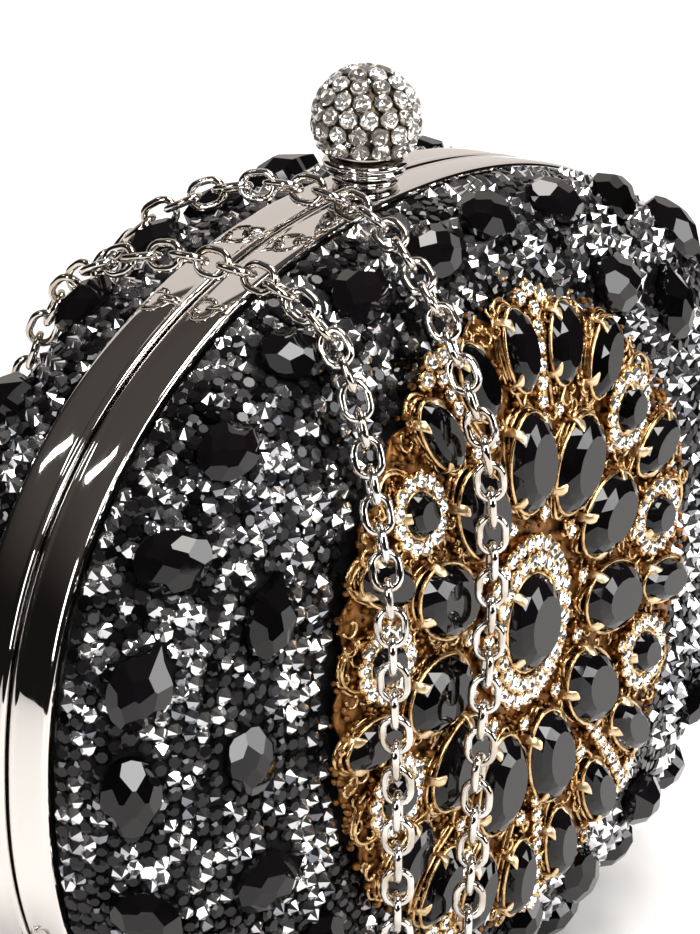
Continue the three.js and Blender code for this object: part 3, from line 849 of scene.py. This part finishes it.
def make_linings():
    for prefix, side in halves:
        skin = dome_skin(side, 4.2 * MM, thickness=0.8 * MM)
        lining = make_piece(f"{prefix}_satin_lining", skin, "lining", smooth=True)
        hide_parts(f"{prefix}_lining")
        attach(lining, f"{prefix}_half")


def repaint(material, *nodes):
    for node in nodes:
        mesh = frame["nodes"][node].data
        mesh.materials.clear()
        mesh.materials.append(materials[material])


def make_clasp():
    top = rim_top / MM
    collar = [
        (2.1, 0.3), (4.45, 0.3), (4.62, 0.45), (4.7, 0.75), (4.62, 1.05), (4.4, 1.22), (3.9, 1.32),
        (3.4, 1.5), (2.1, 1.5),
    ]
    cup = [
        (1.8, 3.3), (4.9, 3.3), (4.9, 1.75), (5.2, 1.72), (5.42, 1.86), (5.5, 2.1), (5.42, 2.34),
        (5.15, 2.48), (5.15, 2.62), (5.6, 2.7), (5.9, 2.9), (6.0, 3.25), (5.9, 3.62), (5.6, 3.8), (5.3, 4.1),
        (1.8, 4.1),
    ]
    for name, profile, node, body in (("collar_ring", collar, "clasp_collar", "rear_half"),
                                      ("cup_ring", cup, "clasp_cup", "clasp_button")):
        rings = [clasp_ring(96, radius * MM, (top + height) * MM) for radius, height in profile]
        piece = metal_piece(name, stack(rings, looped=True), "nickel")
        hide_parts(node)
        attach(piece, body)
    make_ball()
    make_spring()
    repaint("steel", "clasp_stem", "latch_pawl", "latch_bracket", "latch_pivot_pin", "strike_plate",
            "hinge_pin")
    repaint("nickel", "rear_knuckle_centre", "rear_knuckle_left", "rear_knuckle_right")
    repaint("nickel", "front_knuckle_left", "front_knuckle_right")
    repaint("board", "rear_shell", "front_shell")


def make_spring():
    """Coil between the bracket's floor and the pawl."""
    low, high = (Vector(corner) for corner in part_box("clasp_spring"))
    wire, coils, per_turn = 0.35 * MM, 5, 24
    radius, middle_x = (high.x - low.x) / 2 - wire, (low.x + high.x) / 2
    path = []
    for i in range(coils * per_turn + 1):
        angle = i / per_turn * 2 * pi
        height = low.z + wire + i / (coils * per_turn) * (high.z - low.z - 2 * wire)
        path.append((middle_x + radius * cos(angle), seam_y + radius * sin(angle), height))
    coil = metal_piece("spring_coil", tube(path, wire), "steel")
    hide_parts("clasp_spring")
    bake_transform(coil)


def outward_at(angle, latitude):
    level = cos(latitude)
    return level * cos(angle), level * sin(angle), sin(latitude)


def make_ball():
    """Ball set with rows of clear stones between silver beads."""
    centre = np.array([0, seam_y, rim_top + 9.2 * MM])
    core_radius = 6.85 * MM
    stone = 1.36 * MM
    seat_angle = -0.72
    rings = []
    for i in range(-1, 24):
        angle = seat_angle + max(i, 0) / 24 * (pi / 2 - seat_angle)
        radius = max((i >= 0) * core_radius * cos(angle), 0.05 * MM)
        rings.append(clasp_ring(64, radius, centre[2] + core_radius * sin(angle)))
    # The core and the stone cups are gold-brown metal, darkened as painted shade between the ball's stones.
    core = metal_piece("ball_core", stack(rings), "ball_ground")
    stones, beads = [], []
    row_step = 2.3 * MM / core_radius
    rows = int((pi / 2 - seat_angle) / row_step)
    for row in range(rows + 1):
        latitude = pi / 2 - row * row_step
        around = max(1, int(2 * pi * core_radius * cos(latitude) / (2.72 * MM)))
        for i in range(around):
            angle = (i + 0.5 * (row % 2)) / around * 2 * pi
            stones.append(outward_at(angle, latitude))
            low = latitude - row_step / 2
            if low > seat_angle and (row + i) % 3 == 0:
                beads.append(outward_at(angle + pi / around, low))
    outwards = np.array(stones)
    places = centre + outwards * (core_radius + 0.2 * MM)
    spin = draws.uniform(0, 3, len(places))
    frames = frames_on(places, outwards, spin, np.full(len(places), stone), 0.06)
    cup = stack([ring(12, 0.9, 0.9, -0.5), ring(12, 1.07, 1.07, -0.1), ring(12, 1.05, 1.05, 0.06)])
    cups = metal_piece("ball_settings", copies(cup, frames), "ball_ground")
    clear = make_piece("ball_stones", copies(brilliant(), frames), "ball_stone")
    outwards = np.array(beads)
    places = centre + outwards * (core_radius + 0.15 * MM)
    bead = with_apex(*stack([ring(8, 1, 1, -0.4), ring(8, 0.95, 0.95, 0.3), ring(8, 0.6, 0.6, 0.75)]), 0.9)
    frames = frames_on(places, outwards, np.zeros(len(places)), np.full(len(places), 0.55 * MM))
    grains = metal_piece("ball_beads", copies(bead, frames), "nickel")
    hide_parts("clasp_ball")
    for piece in (core, clear, cups, grains):
        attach(piece, "clasp_button")


# -------- rosette

def prong_shape():
    """Flat gold tab with a round end, bent over the edge of a stone; it points along +X from the girdle."""
    length, width, thickness, rise = 3.3 * MM, 1.5 * MM, 0.55 * MM, 1.9 * MM
    path = [(-0.35 * MM, -1.3 * MM), (-0.3 * MM, rise * 0.35), (0.1 * MM, rise * 0.8), (0.9 * MM, rise),
            (length * 0.55, rise + 0.32 * MM), (length * 0.88, rise + 0.38 * MM),
            (length * 0.97, rise + 0.36 * MM), (length, rise + 0.34 * MM)]
    widths = [1.0, 1.0, 1.0, 1.0, 1.0, 0.95, 0.75, 0.45]
    rings = []
    for i, ((x, z), share) in enumerate(zip(path, widths)):
        before, after = path[max(i - 1, 0)], path[min(i + 1, len(path) - 1)]
        along = Vector((after[0] - before[0], 0, after[1] - before[1])).normalized()
        up = Vector((-along.z, 0, along.x))
        circle = []
        for j in range(8):
            angle = j / 8 * 2 * pi + pi / 8
            y = signed_power(cos(angle), 0.7) * width / 2 * share
            lift = signed_power(sin(angle), 0.7) * thickness / 2
            circle.append((x + up.x * lift, y, z + up.z * lift))
        rings.append(np.array(circle))
    return stack(rings)


def set_stone(base, size, prongs, parts):
    """Adds a stone of length, width and height, its gold seat wire and its prongs in a base frame."""
    length, width, height = size
    parts["stones"].append(copies(step_oval(length, width, height), [base]))
    for lift, radius in ((0.28, 0.32), (-0.25, 0.4)):
        seat = ring(28, length / 2 + 0.14 * MM, width / 2 + 0.14 * MM, height * lift)
        seat = np.array([base @ Vector(point) for point in seat])
        parts["settings"].append(tube(seat, radius * MM, 6, closed=True))
    for angle in prongs:
        cosine, sine = cos(angle), sin(angle)
        edge = (cosine * (length / 2 + 0.1 * MM), sine * (width / 2 + 0.1 * MM), 0)
        turn = atan2(-sine * width, -cosine * length)
        share = min(1.0, 0.35 + width / (13 * MM))
        prong = base @ Matrix.Translation(edge) @ Matrix.Rotation(turn, 4, "Z")
        prong = prong @ Matrix.Diagonal((share, 1, height / (3.2 * MM), 1))
        parts["prongs"].append(copies(prong_shape(), [prong]))


def clear_ring(base, x_radius, y_radius, count, radius, lift, parts):
    """Ring of small clear stones, each in a gold cup."""
    for angle in turns(count):
        place = base @ Matrix.Translation((x_radius * cos(angle), y_radius * sin(angle), lift))
        add_clear(place, radius, parts)


def add_clear(place, radius, parts):
    place = place @ Matrix.Rotation(draws.uniform(0, pi), 4, "Z") @ Matrix.Scale(radius, 4)
    parts["clear"].append(copies(brilliant(), [place]))
    cup = stack([ring(10, 0.85, 0.85, -1.4), ring(10, 1.14, 1.14, -0.1), ring(10, 1.1, 1.1, 0.16)])
    parts["settings"].append(copies(cup, [place]))
    bead = Matrix.Translation((1.05, 0, 0.1)) @ Matrix.Scale(0.36, 4)
    for turn in (0.4, 2.5, 4.6):
        parts["settings"].append(copies(grain(), [place @ Matrix.Rotation(turn, 4, "Z") @ bead]))


def grain():
    rings = [ring(6, 0.7, 0.7, -0.8), ring(6, 1, 1, 0.0), ring(6, 0.7, 0.7, 0.7, 0.5)]
    return with_apex(*stack(rings, turned=(2,)), 1.0)


def wire_loop(angle, sizes, radius, parts):
    """Teardrop of gold wire that lies on the front surface along a ray of the rosette."""
    inner, outer, half_span, lift = (size * MM for size in sizes)
    path = []
    for turn in turns(36):
        along = (inner + outer) / 2 + (outer - inner) / 2 * cos(turn)
        across = half_span * sin(turn) * (0.7 + 0.3 * cos(turn))
        x = rosette_x + along * cos(angle) - across * sin(angle)
        z = rosette_z + along * sin(angle) + across * cos(angle)
        path.append(front_point(x, z, lift))
    parts["filigree"].append(tube(path, radius, 6, closed=True))


def curled_wire(radius, angle, size, lift, parts):
    """Short curl of gold wire, a spiral of three quarters of a turn."""
    start = draws.uniform(0, 2 * pi)
    path = []
    for i in range(9):
        turn = start + i / 8 * 4.8
        reach = size * (1 - 0.07 * i)
        x = rosette_x + radius * cos(angle) + reach * cos(turn)
        z = rosette_z + radius * sin(angle) + reach * sin(turn)
        path.append(front_point(x, z, lift + 0.05 * MM * i))
    parts["filigree"].append(tube(path, 0.26 * MM, 5))


def rosette_plate():
    """Scalloped gold plate that follows the dome."""
    count = lobe_count * 16
    shares = np.linspace(0.06, 0.945, 22)

    def level(share, lift):
        points = []
        for angle in turns(count):
            lobe = 1 - 0.06 * (1 - cos(2 * lobe_count * angle)) / 2
            radius = rosette_radius * share * lobe
            points.append(front_point(rosette_x + radius * cos(angle), rosette_z + radius * sin(angle), lift))
        return np.array(points)

    rings = [level(share, 0.95 * MM) for share in shares]
    rings += [level(share, 0.45 * MM) for share in shares[::-1]]
    points, faces = stack(rings)
    return points, [face[::-1] for face in faces]


def haloed_stone(angle, parts):
    base = front_frame(halo_radius, angle, stone_lift)
    set_stone(base, halo_stone, (0.7, 3.6), parts)
    clear_ring(base, 5.0 * MM, 4.5 * MM, 13, 1.18 * MM, 0.8 * MM, parts)


def stone_arm(angle, parts):
    """Radial row of small clear stones with three at its outer end."""
    for radius in (28.2, 30.6, 33.0, 35.4, 37.8, 40.2, 42.6):
        add_clear(front_frame(radius * MM, angle, 2.3 * MM), 1.05 * MM, parts)
    for radius, shift in ((45.0, 0.0), (44.2, -0.055), (44.2, 0.055)):
        add_clear(front_frame(radius * MM, angle + shift, 2.1 * MM), 1.15 * MM, parts)


def fill_rosette(parts):
    """Grains and curls of gold wire over the plate."""
    for _ in range(2300):
        radius = rosette_radius * sqrt(draws.uniform(0.08, 0.93))
        place = front_frame(radius, draws.uniform(0, 2 * pi), draws.uniform(0.9, 1.9) * MM)
        size = draws.uniform(0.3, 0.65) * MM
        parts["grains"].append(copies(grain(), [place @ Matrix.Scale(size, 4)]))
    for _ in range(620):
        radius = rosette_radius * sqrt(draws.uniform(0.1, 0.91))
        curled_wire(radius, draws.uniform(0, 2 * pi), draws.uniform(0.7, 1.6) * MM,
                    draws.uniform(1.1, 2.2) * MM, parts)


def make_rosette():
    parts = {name: [] for name in ("stones", "clear", *rosette_golds)}
    centre = front_frame(0, pi / 2, stone_lift)
    quarter = [pi * share for share in (0.25, 0.75, 1.25, 1.75)]
    spear_prongs = (0.75, 2.4, 4.0, 5.5)
    set_stone(centre, centre_stone, quarter, parts)
    clear_ring(centre, 8.9 * MM, 7.9 * MM, 22, 1.2 * MM, 1.2 * MM, parts)
    clear_ring(centre, 11.2 * MM, 10.1 * MM, 28, 1.2 * MM, 0.6 * MM, parts)
    step = 2 * pi / lobe_count
    for i in range(lobe_count):
        angle = pi / 2 - i * step
        between = angle - step / 2
        set_stone(front_frame(petal_radius, angle, stone_lift), petal_stone, quarter, parts)
        set_stone(front_frame(spear_radius, angle, stone_lift), spear_stone, spear_prongs, parts)
        if abs(cos(between)) > 0.72:
            haloed_stone(between, parts)
        else:
            set_stone(front_frame(spear_radius, between, stone_lift), spear_stone, spear_prongs, parts)
            stone_arm(angle - step / 4, parts)
        for radius in (15.2, 29.4):
            add_clear(front_frame(radius * MM, between, 2.3 * MM), 1.0 * MM, parts)
        for sizes in ray_wires:
            wire_loop(angle, sizes, 0.34 * MM, parts)
        for sizes in gap_wires:
            wire_loop(between, sizes, 0.32 * MM, parts)
    fill_rosette(parts)
    # The plate is painted in very dark gold: painted shade beneath the wires and stones.
    plate = metal_piece("rosette_base", rosette_plate(), "deep_gold")
    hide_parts("rosette_plate")
    stones = make_piece("rosette_stones", join(parts["stones"]), "large_jet")
    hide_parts("centre_stone", *[name for name in frame["nodes"] if "_stone_" in name])
    clear = make_piece("rosette_clear_stones", join(parts["clear"]), "clear_stone")
    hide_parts("centre_halo")
    pieces = [plate, stones, clear]
    for part, gold in rosette_golds.items():
        piece = make_piece(f"rosette_{part}", join(parts[part]), gold, part != "grains")
        pieces.append(piece)
    for piece in pieces:
        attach(piece, "front_half")


# -------- chain strap

def mixed(t, start, end, low, high):
    return (end - t) / (end - start) * low + (t - start) / (end - start) * high


def smooth_route(points, per_span=12):
    """Centripetal Catmull-Rom curve through the route's points."""
    points = np.asarray(points, float)
    points = np.concatenate([[2 * points[0] - points[1]], points, [2 * points[-1] - points[-2]]])
    out = []
    for i in range(1, len(points) - 2):
        p0, p1, p2, p3 = points[i - 1:i + 3]
        spans = np.linalg.norm(np.diff(points[i - 1:i + 3], axis=0), axis=1)
        t1, t2, t3 = np.cumsum(spans ** 0.5)
        for t in np.linspace(t1, t2, per_span, endpoint=False):
            a1 = mixed(t, 0, t1, p0, p1)
            a2 = mixed(t, t1, t2, p1, p2)
            a3 = mixed(t, t2, t3, p2, p3)
            out.append(mixed(t, t1, t2, mixed(t, 0, t2, a1, a2), mixed(t, t1, t3, a2, a3)))
    out.append(points[-2])
    return np.array(out)


def link_shape():
    """One oval link lying in its XY plane, long along X."""
    bend = (link_width - link_wire) / 2
    straight = (link_length - link_wire) / 2 - bend
    path = []
    for end in (1, -1):
        for i in range(10):
            angle = -pi / 2 + i / 9 * pi
            path.append((end * (straight + bend * cos(angle)), end * bend * sin(angle), 0))
    return tube(path, link_wire / 2, 9, closed=True, up=(0, 0, 1))


def make_chain():
    route = smooth_route([(x * MM, seam_y + y * MM, z * MM) for x, y, z in strap_route])
    run = run_along(route)
    length = run[-1]
    pitch = link_length - 2 * link_wire
    count = int(round(length / pitch))
    pitch = length / count
    frames = []
    for i in range(count):
        start, end = (np.array([np.interp(at * pitch, run, column) for column in route.T])
                      for at in (i, i + 1))
        middle = Vector((start + end) / 2)
        along = Vector(end - start).normalized()
        facing = chain_facing(middle)
        flat = (facing - along * facing.dot(along)).normalized()
        sway = 0.16 * sin(i * 0.37) + draws.normal(scale=0.06)
        turn = (i % 2) * pi / 2 + sway
        side = along.cross(flat)
        normal = flat * cos(turn) + side * sin(turn)
        across = normal.cross(along)
        frames.append(Matrix.Translation(middle) @ Matrix((along, across, normal)).transposed().to_4x4())
    chain = metal_piece("link_chain", copies(link_shape(), frames), "chain")
    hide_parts("chain_strap")
    rings = [make_jump_ring(node) for node in ("left_jump_ring", "right_jump_ring")]
    repaint("chain", "left_chain_lug", "right_chain_lug")
    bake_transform(chain)


def chain_facing(point):
    """Direction that every second link lies square to: the strap hangs twisted towards the left side."""
    if point.z < 12 * MM:
        return Vector((0.2, 0.1, 1))
    if point.y > seam_y + 22 * MM:
        return Vector((-0.5, 0.86, 0.1))
    return Vector((-0.80, -0.50, 0.33))


def make_jump_ring(node):
    low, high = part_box(node)
    centre = (Vector(low) + Vector(high)) / 2
    radius = (high[0] - low[0]) / 2 - ring_wire_radius
    path = [centre + Vector((radius * cos(angle), 0, radius * sin(angle)))
            for angle in turns(48)]
    wire = tube(path, ring_wire_radius, 10, closed=True, up=(0, 1, 0))
    piece = metal_piece(f"{node}_wire", wire, "chain")
    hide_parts(node)
    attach(piece, "rear_half")
    return piece


# -------- the whole bag

make_camera()
materials = {
    "nickel": polished_nickel(),
    "chain": chain_nickel(),
    "silver_stone": stone_material("foiled_stone", 0.05, 0.95, silver_shades),
    "jet_stone": jet_stone(),
    "large_jet": large_jet(),
    "clear_stone": stone_material("clear_stone", 0.04, 0.9, clear_shades),
    "gold": gold_metal(),
    # Very dark copy of the gold for the rosette's plate and grains: painted shade in the rosette's hollows.
    "deep_gold": gold_metal("deep_gold", (0.03, 0.012, 0.004), (0.30, 0.135, 0.04), (0.3, 0.55)),
    "base_cloth": base_cloth(),
    "lining": lining_satin(),
    "board": shell_board(),
    "steel": drawn_steel(),
    # Gold-brown ground of the ball, darkened as painted shade between its stones.
    "ball_ground": gold_metal("ball_ground", (0.02, 0.016, 0.012), (0.15, 0.12, 0.085), (0.25, 0.5)),
    "prong_gold": gold_metal("prong_gold", (0.62, 0.42, 0.20), (0.90, 0.70, 0.45), (0.28, 0.42)),
    "ball_stone": stone_material("ball_stone", 0.14, 0.8, ball_shades),
}
make_chain()
make_stage()
make_rims()
make_linings()
for prefix, side in halves:
    make_pave(prefix, side)
make_clasp()
make_rosette()
